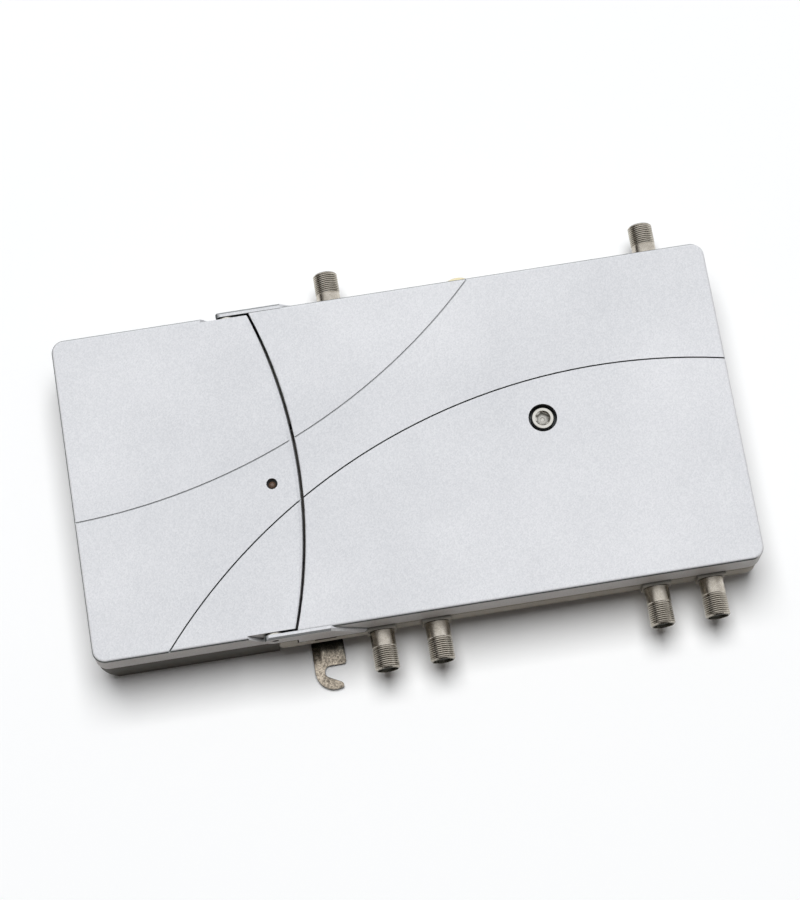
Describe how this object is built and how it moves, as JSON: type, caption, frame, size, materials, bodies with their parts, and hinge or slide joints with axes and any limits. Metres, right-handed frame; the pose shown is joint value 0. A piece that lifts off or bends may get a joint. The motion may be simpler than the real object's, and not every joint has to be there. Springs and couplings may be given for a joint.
{
  "type": "tv signal amplifier",
  "caption": "Slim wall-mounting antenna signal amplifier: supply housing and cast amplifier tray with a hinged, screw-locked cover, F ports and a wall hook.",
  "frame": {"origin": "middle of the housing in X and Y, on the wall face under the cooling ribs", "axes": "+X along the body from the power supply to the amplifier end, +Y from the edge with four ports to the edge with two, +Z out of the wall through the covers"},
  "size_m": [0.255, 0.1624, 0.0295],
  "materials": {
    "cast_silver": "fine metallic silver paint",
    "cast_grey": "die-cast, satin",
    "dark_plastic": "fine texture, dark grey",
    "nickel": "bright nickel plate",
    "steel": "zinc plated steel",
    "brass_contact": "plated spring contact",
    "insulator": "moulded insulator",
    "nylon": "natural nylon",
    "gasket": "conductive foam rubber",
    "lamp": "tinted clear epoxy",
    "board": "green solder mask",
    "tinplate": "tinned sheet",
    "black_plastic": "moulded",
    "blue_plastic": "moulded",
    "white_plastic": "moulded",
    "ferrite": "sintered",
    "copper_winding": "enamelled wire",
    "sink": "extruded",
    "capacitor_sleeve": "printed sleeve, bare",
    "fuse_glass": "clear",
    "terminal": "moulded",
    "wire_sleeve": "insulated lead"
  },
  "bodies": {
    "housing": {"amplifier_chassis": "cast_grey", "power_supply_base": "dark_plastic", "power_supply_cover": "cast_silver", "hinge_pins": "steel", "cover_screw_nut": "steel", "cover_gasket": "gasket", "port_insulators": "insulator", "port_contacts": "brass_contact", "rear_plug": "nylon", "wall_hook": "steel", "wall_hook_screw": "steel", "status_led": "lamp", "led_holder": "black_plastic", "amplifier_board": "board", "board_screws": "steel", "input_shield": "tinplate", "output_shield": "tinplate", "amplifier_module": "black_plastic", "module_screws": "steel", "trimmer_bodies": "blue_plastic", "plug_in_pads": "white_plastic", "pad_sockets": "black_plastic", "filter_coils": "copper_winding", "smoothing_capacitors": "capacitor_sleeve", "power_supply_board": "board", "supply_board_screws": "steel", "transformer_core": "ferrite", "transformer_coil": "copper_winding", "mains_capacitor": "capacitor_sleeve", "output_capacitors": "capacitor_sleeve", "heat_sink": "sink", "switching_transistor": "black_plastic", "mains_fuse": "fuse_glass", "fuse_clips": "tinplate", "terminal_block": "terminal", "housing_screws": "steel", "joining_screws": "steel", "cord_gland": "black_plastic", "power_feedthrough": "brass_contact", "supply_link": "wire_sleeve", "f_port_1": "nickel", "f_port_2": "nickel", "f_port_3": "nickel", "f_port_4": "nickel", "f_port_5": "nickel", "f_port_6": "nickel"},
    "cover": {"amplifier_cover": "cast_silver"},
    "lock_screw": {"cover_screw": "steel", "cover_screw_retainer": "steel"},
    "gain_adjuster": {"gain_trimmer": "white_plastic"},
    "slope_adjuster": {"slope_trimmer": "white_plastic"},
    "return_adjuster": {"return_trimmer": "white_plastic"}
  },
  "joints": [
    {"name": "cover_hinge", "type": "hinge", "parent": "housing", "child": "cover", "pos_m": [-0.0593, 0, 0.0262], "axis": [0, -1, 0], "range_deg": [0, 100]},
    {"name": "lock_screw_turn", "type": "hinge", "parent": "cover", "child": "lock_screw", "pos_m": [0.05421, 0.0035, 0.02], "axis": [0, 0, 1], "continuous": true},
    {"name": "gain_turn", "type": "hinge", "parent": "housing", "child": "gain_adjuster", "pos_m": [-0.02, -0.024, 0.015], "axis": [0, 0, 1], "range_deg": [-135, 135]},
    {"name": "slope_turn", "type": "hinge", "parent": "housing", "child": "slope_adjuster", "pos_m": [-0.00301, -0.024, 0.015], "axis": [0, 0, 1], "range_deg": [-135, 135]},
    {"name": "return_turn", "type": "hinge", "parent": "housing", "child": "return_adjuster", "pos_m": [0.01398, -0.024, 0.015], "axis": [0, 0, 1], "range_deg": [-135, 135]}
  ]
}
